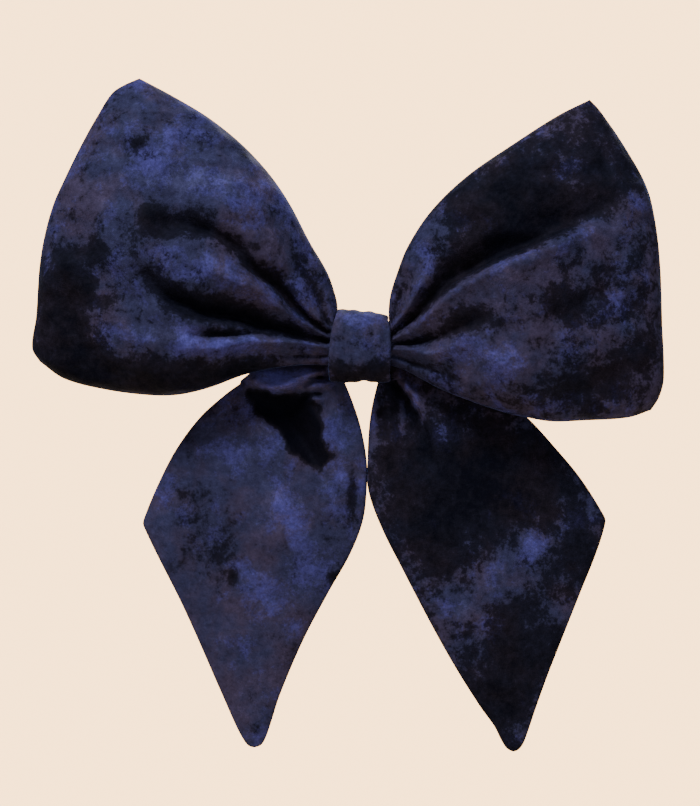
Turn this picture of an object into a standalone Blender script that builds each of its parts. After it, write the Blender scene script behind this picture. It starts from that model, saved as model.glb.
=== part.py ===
"""Velvet hair bow on a French barrette.

Metres, +Z up. The bow faces -Y and +X is the viewer's right. The origin is the middle of the
barrette's hair gap, behind the knot. Outlines are in millimetres in the X-Z plane.
"""

import math

import bmesh
import bpy
from mathutils import Matrix, Vector

MM = 0.001

# Cloth layers
VELVET = 1.0  # thickness of one velvet panel
INTERFACING = 0.6
LAYER_GAP = 0.3  # between pieces that touch in the real bow
WADDING_GAP = 1.2

# The pinched middle
MOUTH_X = 12.6  # where the loops leave the knot wrap
PINCH_HALF_HEIGHT = 9.0
PINCH_Y = -18.6
PINCH_PUFF = 4.05

# Loops
FRONT_PUFF = 20.0
BACK_PUFF = 9.0
LOOP_FORWARD = 5.0  # how far the middle of a loop stands in front of the pinch
LOOP_STEPS = 12
LOOP_ROWS = 10

# Tails
TAIL_Y = -9.6
TAIL_TOP_Z = -15.6
TAIL_FRONT_PUFF = 2.6
TAIL_BACK_PUFF = 1.6
TAIL_COLUMNS = 6
TAIL_ROWS = 12
NECK_BOTTOM_Z = -14.4
NECK_COLUMNS = 9
NECK_ROWS = 5
NECK_HALF_DEPTH = 2.3  # inside the wrap
NECK_EDGE_HALF_DEPTH = 1.45  # where the tail bends
SWING_Z = 0.5 * (TAIL_TOP_Z + NECK_BOTTOM_Z)

# Knot wrap, a band round the pinch
WRAP_FRONT_Y = -27.6
WRAP_BACK_Y = -3.5
WRAP_HALF_HEIGHT = 14.2
WRAP_HALF_WIDTH = 12.0
WRAP_NARROWING = 0.9  # how much narrower each side is at the top
WRAP_THICKNESS = 2.2
WRAP_SQUARENESS = 3.0
WRAP_CROWN = 0.6

# Threads
GATHER_RADIUS = 0.45
GATHER_TURNS = 3
GATHER_PITCH = 1.6
STITCH_RADIUS = 0.3
STITCH_COUNT = 8
STITCH_HEIGHT = 1.6
SEAM_Z = -8.0
SEAM_HALF_LENGTH = 9.5

# Barrette
BASE_Y = -6.4
BASE_END_Y = -2.0
BASE_FLAT_X = 13.0
BASE_BEND_END_X = 32.0
BASE_THICKNESS = 0.8
BASE_HALF_WIDTH = 4.9
BASE_END_X = 42.0
HINGE_X = -38.5
HINGE_Y = 5.7
PIN_RADIUS = 0.6
PIN_BORE = 0.9
EAR_INNER_Z = 3.9
EAR_OUTER_Z = 4.7
EAR_TOP_Y = 7.6
EAR_HALF_LENGTH = 2.6
ARM_Y = 3.3
ARM_FLAT_X = 6.0
ARM_THICKNESS = 0.8
ARM_HALF_WIDTH = 3.4
ARM_END_X = 42.0
EYE_RADIUS = 1.6
WINDOW_HALF_WIDTH = 2.3
CATCH_X = 38.0
SEAT_Y = -1.0
SEAT_THICKNESS = 0.6
LEVER_PIVOT_Y = -0.5
LEVER_PIVOT_Z = 3.3
LEVER_HALF_LENGTH = 1.6
# Stretches of a lever: lowest and highest y, inner and outer z
LEVER_FOOT = (-0.3, 0.3, 1.3, 5.4)
LEVER_PRONG = (0.0, 8.2, 1.3, 1.9)
LEVER_TAB = (0.0, 4.0, 4.8, 5.4)
LEVER_BARB = (6.6, 7.4, 1.6, 2.15)
LEAF_Y = -3.0
LEAF_RISE = 2.3
LEAF_THICKNESS = 0.4
LEAF_HALF_WIDTH = 3.0
RIVET_RADIUS = 0.5
RIVET_HOLE = 0.8
RIVET_HEAD = 1.0

# Outlines, millimetres in X and Z. Each side of a patch runs outwards or upwards.
LEFT_LOOP = {
    "pinch": [(-12.6, -8.5), (-12.6, 10.5)],
    "bottom": [(-12.6, -8.5), (-22, -8.2), (-34, -9.5), (-46, -12), (-60, -17.2), (-71.6, -20),
               (-82.4, -20.2), (-100.4, -18), (-117.2, -13.6), (-126.5, -7)],
    "outer": [(-126.5, -7), (-130, -1), (-128.4, 11.2), (-127.2, 29.2), (-125.2, 42.4),
              (-121.6, 55.2), (-116.8, 66), (-109.2, 80.8), (-99, 98), (-92.5, 104.5)],
    "top": [(-12.6, 10.5), (-12.9, 20), (-15, 30), (-20, 40.8), (-28, 56), (-36, 67.6),
            (-46.8, 79.2), (-60, 89.6), (-73.6, 97.6), (-92.5, 104.5)],
}
RIGHT_LOOP = {
    "pinch": [(12.6, -8.5), (12.6, 10.5)],
    "bottom": [(12.6, -8.5), (18.8, -10.5), (32.8, -18), (54.8, -26.2), (68.4, -29.4),
               (76.8, -30.6), (88, -30.2), (106.2, -29), (115, -26.5)],
    "outer": [(115, -26.5), (118.6, -20.8), (120.4, -13.2), (119.6, 9.6), (119, 28),
              (117.2, 46.4), (113.6, 62), (105.2, 77.6), (95.2, 92.4), (91, 96.6)],
    "top": [(12.6, 10.5), (13.4, 24), (18.8, 38.8), (28, 52.8), (42, 66.4), (60.4, 79.2),
            (78.6, 90.8), (91, 96.6)],
}
LEFT_TAIL = {
    "outer": [(-47.5, -15.6), (-54.2, -19.6), (-64.6, -29), (-74, -41.6), (-81, -55), (-87, -69),
              (-87.2, -73.5), (-70.8, -106.4), (-55.6, -140.8), (-49.4, -154.4), (-45, -161)],
    "inner": [(-6.8, -15.6), (-2.9, -22.8), (0.2, -33.2), (2.3, -47.8), (2.3, -61.4), (1, -72),
              (-4, -84.4), (-12.4, -99.2), (-22.8, -118.8), (-32.2, -140.8), (-36.4, -153.6),
              (-40.2, -161)],
}
RIGHT_TAIL = {
    "outer": [(48, -15.6), (58, -21), (68.4, -29.8), (77.4, -39.5), (88, -53.4), (97.4, -68.6),
              (97.9, -72), (94.6, -83.4), (88, -100.4), (76.4, -131.6), (71, -146.6),
              (68.3, -155.2), (64.5, -163)],
    "inner": [(7.6, -15.6), (5, -24), (3.6, -33), (3.3, -44.8), (3.9, -60), (8.8, -72.8),
              (17.4, -90.8), (29.2, -113.4), (38.8, -130.4), (48.4, -145.6), (54.4, -154),
              (59.3, -163)],
}
NECK = {  # the right one; the left one is its mirror image
    "pinch": [(1.2, -8), (1.2, 8)],
    "bottom": [(1.2, -8), (8, -8.6), (13.3, -9.6), (13.5, NECK_BOTTOM_Z)],
    "outer": [(13.5, NECK_BOTTOM_Z), (48, NECK_BOTTOM_Z)],
    "top": [(1.2, 8), (12.6, 7), (30, 0), (48, NECK_BOTTOM_Z)],
}

NAVY = (0.012, 0.015, 0.075, 1)
THREAD_NAVY = (0.015, 0.018, 0.060, 1)
WHITE_FIBRE = (0.75, 0.74, 0.70, 1)
STEEL = (0.60, 0.60, 0.62, 1)


# Scene and materials

def clear_scene():
    for thing in list(bpy.data.objects):
        bpy.data.objects.remove(thing, do_unlink=True)


def new_collection(name):
    collection = bpy.data.collections.new(name)
    bpy.context.scene.collection.children.link(collection)
    return collection


def new_material(name, colour, roughness, metallic=0.0):
    material = bpy.data.materials.new(name)
    material.use_nodes = True
    shader = material.node_tree.nodes["Principled BSDF"]
    shader.inputs["Base Color"].default_value = colour
    shader.inputs["Roughness"].default_value = roughness
    shader.inputs["Metallic"].default_value = metallic
    return material


def add_object(name, data, material, collection):
    thing = bpy.data.objects.new(name, data)
    data.materials.append(material)
    collection.objects.link(thing)
    return thing


def shade_smooth(data, angle=40):
    data.shade_smooth()
    data.set_sharp_from_angle(angle=math.radians(angle))


# Lines and patches

def point_on(points, share):
    """The point a share of the way along a smooth line through the points."""
    line = [Vector(point) for point in points]
    steps = [(b - a).length for a, b in zip(line, line[1:])]
    left = share * sum(steps)
    place = 0
    while place < len(steps) - 1 and left > steps[place]:
        left -= steps[place]
        place += 1
    t = min(1.0, left / steps[place])
    a, b = line[place], line[place + 1]
    before = line[place - 1] if place else a
    after = line[place + 2] if place + 2 < len(line) else b
    # Tangents scaled by each neighbour's spacing keep the line from overshooting at short steps.
    start_turn = (b - before) * steps[place] / max((b - before).length, 1e-6)
    end_turn = (after - a) * steps[place] / max((after - a).length, 1e-6)
    return (
        a * (2 * t**3 - 3 * t**2 + 1)
        + start_turn * (t**3 - 2 * t**2 + t)
        + b * (3 * t**2 - 2 * t**3)
        + end_turn * (t**3 - t**2)
    )


def point_in(patch, out, up):
    """A point inside four sides: out from the pinch (0) to the outer side (1), and up from 0 to 1."""
    bottom, top = point_on(patch["bottom"], out), point_on(patch["top"], out)
    pinch, outer = point_on(patch["pinch"], up), point_on(patch["outer"], up)
    corners = (
        Vector(patch["bottom"][0]) * (1 - out) * (1 - up)
        + Vector(patch["bottom"][-1]) * out * (1 - up)
        + Vector(patch["top"][0]) * (1 - out) * up
        + Vector(patch["top"][-1]) * out * up
    )
    return bottom * (1 - up) + top * up + pinch * (1 - out) + outer * out - corners


def dome(share):
    """0 at both ends and 1 in the middle, round like a sewn edge."""
    return math.sqrt(max(0.0, 4 * share * (1 - share)))


def rise(share):
    """0 to 1, easing in and out."""
    share = min(1.0, max(0.0, share))
    return share * share * (3 - 2 * share)


# Solids

def grid_slab(name, columns, rows, surface, material, collection):
    """A closed slab. surface(column, row) gives x, z, front y and back y in millimetres."""
    mesh = bmesh.new()
    bmesh.ops.create_grid(mesh, x_segments=columns, y_segments=rows, size=0.5)
    fronts = list(mesh.verts)
    made = bmesh.ops.extrude_face_region(mesh, geom=mesh.faces[:], use_keep_orig=True)
    backs = [item for item in made["geom"] if isinstance(item, bmesh.types.BMVert)]
    for verts, is_back in ((fronts, False), (backs, True)):
        for vert in verts:
            column = round((vert.co.x + 0.5) * columns)
            row = round((vert.co.y + 0.5) * rows)
            x, z, front, back = surface(column, row)
            vert.co = Vector((x, back if is_back else front, z)) * MM
    bmesh.ops.triangulate(mesh, faces=mesh.faces[:], quad_method="FIXED")
    bmesh.ops.recalc_face_normals(mesh, faces=mesh.faces[:])
    data = bpy.data.meshes.new(name)
    mesh.to_mesh(data)
    mesh.free()
    shade_smooth(data, 50)
    return add_object(name, data, material, collection)


def bent_strip(name, start_x, end_x, half_width, thickness, height, segments, material, collection):
    """A flat strip along X whose middle follows y = height(x)."""
    mesh = bmesh.new()
    bmesh.ops.create_grid(mesh, x_segments=segments, y_segments=1, size=0.5)
    for vert in mesh.verts:
        x = start_x + (vert.co.x + 0.5) * (end_x - start_x)
        vert.co = Vector((x, height(x), vert.co.y * 2 * half_width)) * MM
    data = bpy.data.meshes.new(name)
    mesh.to_mesh(data)
    mesh.free()
    thing = add_object(name, data, material, collection)
    solidify = thing.modifiers.new("thickness", "SOLIDIFY")
    solidify.thickness = thickness * MM
    solidify.offset = 0
    return thing


def add_box(mesh, low, high):
    made = bmesh.ops.create_cube(mesh, size=1)
    for vert in made["verts"]:
        for axis in range(3):
            middle = 0.5 * (low[axis] + high[axis])
            vert.co[axis] = (middle + vert.co[axis] * (high[axis] - low[axis])) * MM


def add_rod(mesh, x, y, radius, low_z, high_z, segments=20):
    made = bmesh.ops.create_cone(
        mesh, cap_ends=True, segments=segments, radius1=radius * MM, radius2=radius * MM,
        depth=(high_z - low_z) * MM,
    )
    offset = Vector((x, y, 0.5 * (low_z + high_z))) * MM
    bmesh.ops.translate(mesh, verts=made["verts"], vec=offset)


def add_shape(name, build, material, collection):
    """An object from a function that fills a bmesh."""
    mesh = bmesh.new()
    build(mesh)
    data = bpy.data.meshes.new(name)
    mesh.to_mesh(data)
    mesh.free()
    return add_object(name, data, material, collection)


def add_helper(name, build, cutters):
    helper = add_shape(name, build, bpy.data.materials["barrette_steel"], cutters)
    helper.hide_render = True
    helper.display_type = "WIRE"
    return helper


def add_turned(name, profile, steps, material, collection):
    """A solid of revolution about its own Z from a profile that runs from top to bottom."""
    data = bpy.data.meshes.new(name)
    points = [Vector((radius, 0, height)) * MM for radius, height in profile]
    data.from_pydata(points, [(i, i + 1) for i in range(len(points) - 1)], [])
    thing = add_object(name, data, material, collection)
    screw = thing.modifiers.new("turn", "SCREW")
    screw.steps = steps
    screw.render_steps = steps
    screw.use_merge_vertices = True
    screw.merge_threshold = 0.00001
    return thing


def combine(thing, helper, operation):
    modifier = thing.modifiers.new(operation.lower(), "BOOLEAN")
    modifier.operation = operation
    modifier.object = helper


def add_thread(name, points, radius, material, collection):
    curve = bpy.data.curves.new(name, "CURVE")
    curve.dimensions = "3D"
    curve.bevel_depth = radius * MM
    curve.bevel_resolution = 1
    curve.use_fill_caps = True
    spline = curve.splines.new("POLY")
    spline.points.add(len(points) - 1)
    for spot, point in zip(spline.points, points):
        spot.co = (*(Vector(point) * MM), 1)
    return add_object(name, curve, material, collection)


# Loops: one pillow that runs through the pinch

def loop_station(column, row):
    """x, z, the seam's y, the front puff and the back puff at a place in the whole pillow."""
    up = row / LOOP_ROWS
    left_columns = LOOP_STEPS
    right_start = LOOP_STEPS + 4
    if column <= left_columns:
        patch, out = LEFT_LOOP, 1 - column / LOOP_STEPS
    elif column >= right_start:
        patch, out = RIGHT_LOOP, (column - right_start) / LOOP_STEPS
    else:
        x = (column - LOOP_STEPS - 2) * 0.5 * MOUTH_X
        z = PINCH_HALF_HEIGHT * (2 * up - 1)
        return x, z, PINCH_Y, PINCH_PUFF * dome(up), PINCH_PUFF * dome(up)
    x, z = point_in(patch, out, up)
    seam_y = PINCH_Y - LOOP_FORWARD * rise(out / 0.5)
    fullness = rise(out / 0.6) ** 0.8
    end = math.sqrt(1 - out**5)
    front = (PINCH_PUFF + (FRONT_PUFF - PINCH_PUFF) * fullness) * end * dome(up)
    back = (PINCH_PUFF + (BACK_PUFF - PINCH_PUFF) * fullness) * end * dome(up)
    return x, z, seam_y, front, back


LOOP_COLUMNS = 2 * LOOP_STEPS + 4


def loops_front(column, row):
    x, z, seam, front, _ = loop_station(column, row)
    inner = seam - 0.5 * LAYER_GAP - front
    return x, z, inner - VELVET, inner


def loops_back(column, row):
    x, z, seam, _, back = loop_station(column, row)
    inner = seam + 0.5 * LAYER_GAP + back
    return x, z, inner, inner + VELVET


def loops_filling(column, row):
    x, z, seam, front, back = loop_station(column + 1, row + 1)
    return x, z, seam - max(front - WADDING_GAP, 0.3), seam + max(back - WADDING_GAP, 0.3)


def make_loops(collection):
    velvet = new_material("velvet", NAVY, 0.75)
    fibre = new_material("wadding_fibre", WHITE_FIBRE, 0.95)
    grid_slab("loops_front_panel", LOOP_COLUMNS, LOOP_ROWS, loops_front, velvet, collection)
    grid_slab("loops_back_panel", LOOP_COLUMNS, LOOP_ROWS, loops_back, velvet, collection)
    grid_slab("loops_wadding", LOOP_COLUMNS - 2, LOOP_ROWS - 2, loops_filling, fibre, collection)


# Tails

def tail_station(outline, column, row):
    """x, z and the share of full puff at a place in a tail, from its outer to its inner side."""
    across, down = column / TAIL_COLUMNS, row / TAIL_ROWS
    outer, inner = point_on(outline["outer"], down), point_on(outline["inner"], down)
    x, z = outer.lerp(inner, across)
    flat_top = 0.15 + 0.85 * rise(down / 0.25)
    return x, z, dome(across) * flat_top * math.sqrt(1 - down**4)


def make_tail(side, outline, collection):
    velvet = bpy.data.materials["velvet"]
    stiff = bpy.data.materials.get("interfacing") or new_material("interfacing", WHITE_FIBRE, 0.9)
    half = 0.5 * INTERFACING

    def front(column, row):
        x, z, puff = tail_station(outline, column, row)
        inner = TAIL_Y - 0.5 * LAYER_GAP - TAIL_FRONT_PUFF * puff
        return x, z, inner - VELVET, inner

    def back(column, row):
        x, z, puff = tail_station(outline, column, row)
        inner = TAIL_Y + 0.5 * LAYER_GAP + TAIL_BACK_PUFF * puff
        return x, z, inner, inner + VELVET

    def middle(column, row):
        x, z, _ = tail_station(outline, column + 1, row + 3)
        return x, z, TAIL_Y - half, TAIL_Y + half

    skins = [
        grid_slab(f"{side}_tail_front_panel", TAIL_COLUMNS, TAIL_ROWS, front, velvet, collection),
        grid_slab(f"{side}_tail_back_panel", TAIL_COLUMNS, TAIL_ROWS, back, velvet, collection),
        grid_slab(f"{side}_tail_interfacing", TAIL_COLUMNS - 2, TAIL_ROWS - 4, middle, stiff, collection),
    ]
    hang_on_axis(skins, f"{side}_tail_swing_axis", (0, TAIL_Y, SWING_Z), collection)


def make_neck(side, collection):
    mirror = -1 if side == "left" else 1

    def gathered(column, row):
        out, up = column / NECK_COLUMNS, row / NECK_ROWS
        x, z = point_in(NECK, out, up)
        flat = rise((x - MOUTH_X) / 20)
        gathered_half = NECK_HALF_DEPTH * (0.45 + 0.55 * dome(up))
        half = gathered_half * (1 - flat) + NECK_EDGE_HALF_DEPTH * flat
        return mirror * x, z, TAIL_Y - half, TAIL_Y + half

    velvet = bpy.data.materials["velvet"]
    grid_slab(f"{side}_tail_gathered_head", NECK_COLUMNS, NECK_ROWS, gathered, velvet, collection)


def hang_on_axis(things, name, place, collection):
    """An empty on a joint's axis that the pieces of one moving body hang from."""
    axis = bpy.data.objects.new(name, None)
    axis.location = Vector(place) * MM
    collection.objects.link(axis)
    for thing in things:
        thing.parent = axis
        thing.location = -Vector(place) * MM


# Knot wrap and threads

def oval(angle, half_depth, half_height, squareness):
    """A rounded rectangle's y and z about its own middle."""
    power = 2 / squareness
    c, s = math.cos(angle), math.sin(angle)
    return (
        math.copysign(abs(c) ** power, c) * half_depth,
        math.copysign(abs(s) ** power, s) * half_height,
    )


def make_wrap(collection):
    rings, around = 4, 28
    middle_y = 0.5 * (WRAP_FRONT_Y + WRAP_BACK_Y)
    half_depth = 0.5 * (WRAP_BACK_Y - WRAP_FRONT_Y)
    mesh = bmesh.new()
    bmesh.ops.create_cone(mesh, cap_ends=False, segments=around, radius1=1, radius2=1, depth=2)
    lengthwise = [edge for edge in mesh.edges if abs(edge.verts[0].co.z - edge.verts[1].co.z) > 1]
    bmesh.ops.subdivide_edges(mesh, edges=lengthwise, cuts=rings - 1)
    for vert in mesh.verts:
        across = vert.co.z
        y, z = oval(math.atan2(vert.co.y, vert.co.x), half_depth, WRAP_HALF_HEIGHT, WRAP_SQUARENESS)
        half_width = WRAP_HALF_WIDTH - WRAP_NARROWING * rise(0.5 + 0.5 * z / WRAP_HALF_HEIGHT)
        crown = WRAP_CROWN * (1 - across**2) * rise(-y / half_depth)
        vert.co = Vector((across * half_width, middle_y + y - crown, z)) * MM
    bmesh.ops.recalc_face_normals(mesh, faces=mesh.faces[:])
    data = bpy.data.meshes.new("knot_wrap")
    mesh.to_mesh(data)
    mesh.free()
    shade_smooth(data)
    wrap = add_object("knot_wrap", data, bpy.data.materials["velvet"], collection)
    solidify = wrap.modifiers.new("thickness", "SOLIDIFY")
    solidify.thickness = WRAP_THICKNESS * MM
    solidify.offset = -1


def make_threads(collection):
    thread = new_material("thread", THREAD_NAVY, 0.7)
    per_turn = 16
    count = GATHER_TURNS * per_turn
    half_depth = PINCH_PUFF + 0.5 * LAYER_GAP + VELVET + LAYER_GAP + GATHER_RADIUS
    half_height = PINCH_HALF_HEIGHT + 0.75 + GATHER_RADIUS
    turns = []
    for step in range(count + 1):
        angle = 2 * math.pi * step / per_turn
        y, z = oval(angle, half_depth, half_height, 2.3)
        turns.append((GATHER_PITCH * (step / per_turn - 0.5 * GATHER_TURNS), PINCH_Y + y, z))
    add_thread("gathering_thread", turns, GATHER_RADIUS, thread, collection)

    stitches = []
    for step in range(2 * STITCH_COUNT + 1):
        x = SEAM_HALF_LENGTH * (step / STITCH_COUNT - 1)
        z = SEAM_Z + (0.5 if step % 2 else -0.5) * STITCH_HEIGHT
        stitches.append((x, wrap_back_y(z) + STITCH_RADIUS + LAYER_GAP + 0.1, z))
    add_thread("wrap_stitches", stitches, STITCH_RADIUS, thread, collection)


def wrap_back_y(z):
    """The back of the wrap at a height."""
    middle_y = 0.5 * (WRAP_FRONT_Y + WRAP_BACK_Y)
    half_depth = 0.5 * (WRAP_BACK_Y - WRAP_FRONT_Y)
    share = 1 - abs(z / WRAP_HALF_HEIGHT) ** WRAP_SQUARENESS
    return middle_y + half_depth * share ** (1 / WRAP_SQUARENESS)


# Barrette

def base_height(x):
    bend = rise((abs(x) - BASE_FLAT_X) / (BASE_BEND_END_X - BASE_FLAT_X))
    return BASE_Y + (BASE_END_Y - BASE_Y) * bend


def arm_height(x):
    bend = max(0.0, abs(x) - ARM_FLAT_X) / (abs(HINGE_X) - ARM_FLAT_X)
    return ARM_Y + (HINGE_Y - ARM_Y) * bend**2


def leaf_height(x):
    return LEAF_Y + LEAF_RISE * (x / 34) ** 2


def make_base(steel, collection, cutters):
    base = bent_strip("barrette_base", -BASE_END_X, BASE_END_X, BASE_HALF_WIDTH, BASE_THICKNESS,
                      base_height, 28, steel, collection)

    def ears(mesh):
        for low_z, high_z in ((EAR_INNER_Z, EAR_OUTER_Z), (-EAR_OUTER_Z, -EAR_INNER_Z)):
            add_box(mesh, (HINGE_X - EAR_HALF_LENGTH, BASE_END_Y, low_z),
                    (HINGE_X + EAR_HALF_LENGTH, EAR_TOP_Y, high_z))

    def bores(mesh):
        add_rod(mesh, HINGE_X, HINGE_Y, PIN_BORE, -8, 8)

    combine(base, add_helper("ears", ears, cutters), "UNION")
    combine(base, add_helper("ear_bores", bores, cutters), "DIFFERENCE")
    combine(base, add_helper("base_rivet_hole", rivet_hole, cutters), "DIFFERENCE")
    return base


def rivet_hole(mesh):
    """A cutter along Y through the base and the catch seat."""
    add_rod(mesh, 0, 0, RIVET_HOLE, -6, 6, 12)
    bmesh.ops.transform(mesh, verts=mesh.verts[:], matrix=Matrix.Rotation(math.radians(90), 4, "X"))
    bmesh.ops.translate(mesh, verts=mesh.verts[:], vec=(CATCH_X * MM, 0, 0))


def make_arm(steel, collection, cutters):
    arm = bent_strip("barrette_arm", HINGE_X + 0.5, ARM_END_X, ARM_HALF_WIDTH, ARM_THICKNESS,
                     arm_height, 13, steel, collection)

    def eye(mesh):
        add_rod(mesh, HINGE_X, HINGE_Y, EYE_RADIUS, -ARM_HALF_WIDTH, ARM_HALF_WIDTH)

    def bore(mesh):
        add_rod(mesh, HINGE_X, HINGE_Y, PIN_BORE, -8, 8)

    def window(mesh):
        add_box(mesh, (CATCH_X - 2.3, 0, -WINDOW_HALF_WIDTH), (CATCH_X + 2.3, 12, WINDOW_HALF_WIDTH))

    combine(arm, add_helper("arm_eye", eye, cutters), "UNION")
    combine(arm, add_helper("arm_bore", bore, cutters), "DIFFERENCE")
    combine(arm, add_helper("arm_window", window, cutters), "DIFFERENCE")
    hang_on_axis([arm], "arm_hinge_axis", (HINGE_X, HINGE_Y, 0), collection)


def make_pin(steel, collection):
    head, end, shoulder = 1.1, 5.5, 5.0
    profile = [(0, end), (head, end), (head, shoulder), (PIN_RADIUS, shoulder),
               (PIN_RADIUS, -shoulder), (head, -shoulder), (head, -end), (0, -end)]
    pin = add_turned("barrette_hinge_pin", profile, 16, steel, collection)
    pin.location = Vector((HINGE_X, HINGE_Y, 0)) * MM


def make_leaf(steel, collection):
    bent_strip("barrette_spring_leaf", -34.4, 33.6, LEAF_HALF_WIDTH, LEAF_THICKNESS,
               leaf_height, 12, steel, collection)


def make_catch(steel, collection, cutters):
    seat_low, seat_high = SEAT_Y - 0.5 * SEAT_THICKNESS, SEAT_Y + 0.5 * SEAT_THICKNESS

    def plate(mesh):
        add_box(mesh, (CATCH_X - 3.4, seat_low, -4.4), (CATCH_X + 3.4, seat_high, 4.4))

    seat = add_shape("barrette_catch_seat", plate, steel, collection)
    combine(seat, add_helper("seat_rivet_hole", rivet_hole, cutters), "DIFFERENCE")

    upper = seat_high + LAYER_GAP
    lower = BASE_END_Y - 0.5 * BASE_THICKNESS - LAYER_GAP
    cap = 0.35
    profile = [(0, upper + cap), (RIVET_HEAD, upper + cap), (RIVET_HEAD, upper),
               (RIVET_RADIUS, upper), (RIVET_RADIUS, lower), (RIVET_HEAD, lower),
               (RIVET_HEAD, lower - cap), (0, lower - cap)]
    rivet = add_turned("barrette_catch_rivet", profile, 12, steel, collection)
    rivet.location = (CATCH_X * MM, 0, 0)
    rivet.rotation_euler = (math.radians(-90), 0, 0)


def make_lever(side, steel, collection, cutters):
    """A spring lever of the catch: a foot, a prong through the arm's window and a finger tab."""
    mirror = 1 if side == "upper" else -1

    def slab(low_y, high_y, inner_z, outer_z):
        """A function that adds one stretch of the bent lever."""
        low_z, high_z = sorted((mirror * inner_z, mirror * outer_z))
        low = (CATCH_X - LEVER_HALF_LENGTH, low_y, low_z)
        high = (CATCH_X + LEVER_HALF_LENGTH, high_y, high_z)
        return lambda mesh: add_box(mesh, low, high)

    lever = add_shape(f"catch_lever_{side}", slab(*LEVER_FOOT), steel, collection)
    for part, sizes in (("prong", LEVER_PRONG), ("tab", LEVER_TAB), ("barb", LEVER_BARB)):
        combine(lever, add_helper(f"{part}_{side}", slab(*sizes), cutters), "UNION")
    hang_on_axis([lever], f"lever_{side}_axis", (CATCH_X, LEVER_PIVOT_Y, mirror * LEVER_PIVOT_Z),
                 collection)


def make_barrette(collection, cutters):
    steel = new_material("barrette_steel", STEEL, 0.3, 1.0)
    make_base(steel, collection, cutters)
    make_arm(steel, collection, cutters)
    make_pin(steel, collection)
    make_leaf(steel, collection)
    make_catch(steel, collection, cutters)
    for side in ("upper", "lower"):
        make_lever(side, steel, collection, cutters)


def main():
    clear_scene()
    parts = new_collection("hair_bow")
    cutters = new_collection("cutters")
    cutters.hide_render = True
    make_loops(parts)
    for side, outline in (("left", LEFT_TAIL), ("right", RIGHT_TAIL)):
        make_tail(side, outline, parts)
        make_neck(side, parts)
    make_wrap(parts)
    make_threads(parts)
    make_barrette(parts, cutters)


main()
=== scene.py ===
"""Looks for a navy crushed-velvet hair bow on a French barrette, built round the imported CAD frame.

The bow faces -Y, +X is the viewer's right and +Z is up. Lengths are in millimetres until a mesh
is made. Outlines and folds are lists of (x, z) points, and cloth depth is along Y.
"""

import math

import bmesh
import bpy
import numpy as np
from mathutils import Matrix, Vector


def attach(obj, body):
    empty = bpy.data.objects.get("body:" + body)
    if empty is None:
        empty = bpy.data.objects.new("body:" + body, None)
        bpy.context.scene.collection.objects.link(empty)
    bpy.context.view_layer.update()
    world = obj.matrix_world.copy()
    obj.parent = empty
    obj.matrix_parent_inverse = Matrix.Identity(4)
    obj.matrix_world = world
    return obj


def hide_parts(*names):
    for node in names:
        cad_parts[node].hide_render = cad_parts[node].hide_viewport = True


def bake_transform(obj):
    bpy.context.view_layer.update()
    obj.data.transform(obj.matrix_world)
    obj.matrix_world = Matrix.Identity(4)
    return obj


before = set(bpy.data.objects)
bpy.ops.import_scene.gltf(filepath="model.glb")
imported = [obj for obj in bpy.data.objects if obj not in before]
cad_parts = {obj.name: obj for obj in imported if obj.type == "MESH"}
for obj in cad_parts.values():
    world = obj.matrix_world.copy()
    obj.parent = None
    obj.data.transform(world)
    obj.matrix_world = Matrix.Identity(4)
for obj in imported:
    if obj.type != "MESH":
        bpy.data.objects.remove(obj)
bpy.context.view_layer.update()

MM = 0.001
FORWARD = (0, -1, 0)
BACKWARD = (0, 1, 0)

# Cloth
VELVET = 0.9
INTERFACING = 0.3
SEAM_GAP = 0.02
LIP = 0.9  # half the thickness of a turned seam's rounded edge

# Loops
PINCH_Y = -18.6
PINCH_PUFF = 4.0
KNOT_FILL = 1.2  # how much fuller the cloth is beside the gathering thread
KNOT_FILL_START = 3.5
KNOT_FILL_REACH = 4
FRONT_PUFF = 21.0
BACK_PUFF = 9.5
FULLEST = 0.62  # share of the way out at which a loop is fully puffed
LOOP_FORWARD = 5.0  # how far the loops' seams lie in front of the pinch
SEAM_WANDER = 0.9
LEAST_PILLOW = 3.0 * VELVET
FOLD_INTO_BACK = 0.45  # share of the back's puff that a fold of the front may go into
FRONT_FOLD_ROOM = 1.2
BACK_FOLD_ROOM = 0.5
PINCH_RIDGE = 1.1  # how far a ridge may stand out under the wrap
LOOP_COLUMNS = 96
LOOP_ROWS = 120
PINCH_COLUMNS = 16

# Wadding
WADDING_INSET = 1.7
WADDING_MARGIN = 12  # columns and rows of the loops' grid that it stays short of the seams
WADDING_LEAST = 0.1  # half its least thickness

# Wrinkling of the loops' cloth
SETTLE_STEP = 2  # the cloth solver is given every second column and row
SETTLE_SCALE = 10.0  # the cloth solver is steadier on a bow 2.5 m wide
SETTLE_FRAMES = 22
SPARE_CLOTH = 0.026
MOST_SETTLING = 2.6
KNOT_HOLD_REACH = 16  # the knot holds the cloth fast this far out
KNOT_HOLD_FADE = 40
NEAR_HOLD = 0.6
FAR_HOLD = 0.3

# Tails
TAIL_Y = -9.6
TAIL_FRONT_PUFF = 3.4
TAIL_BACK_PUFF = 2.2
TAIL_WANDER = 1.2
LEAST_TAIL = 2.2 * VELVET
FOLD_SHOW_THROUGH = 0.35  # share of a front fold's depth that the back follows
WRAP_REACH = 12.2  # folds start where the tail comes out from under the wrap
NECK_BACK_FILL = 1.5  # fills the knot behind the tails' heads
TAIL_COLUMNS = 72
NECK_ROWS = 26
TAIL_ROWS = 150

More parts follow.
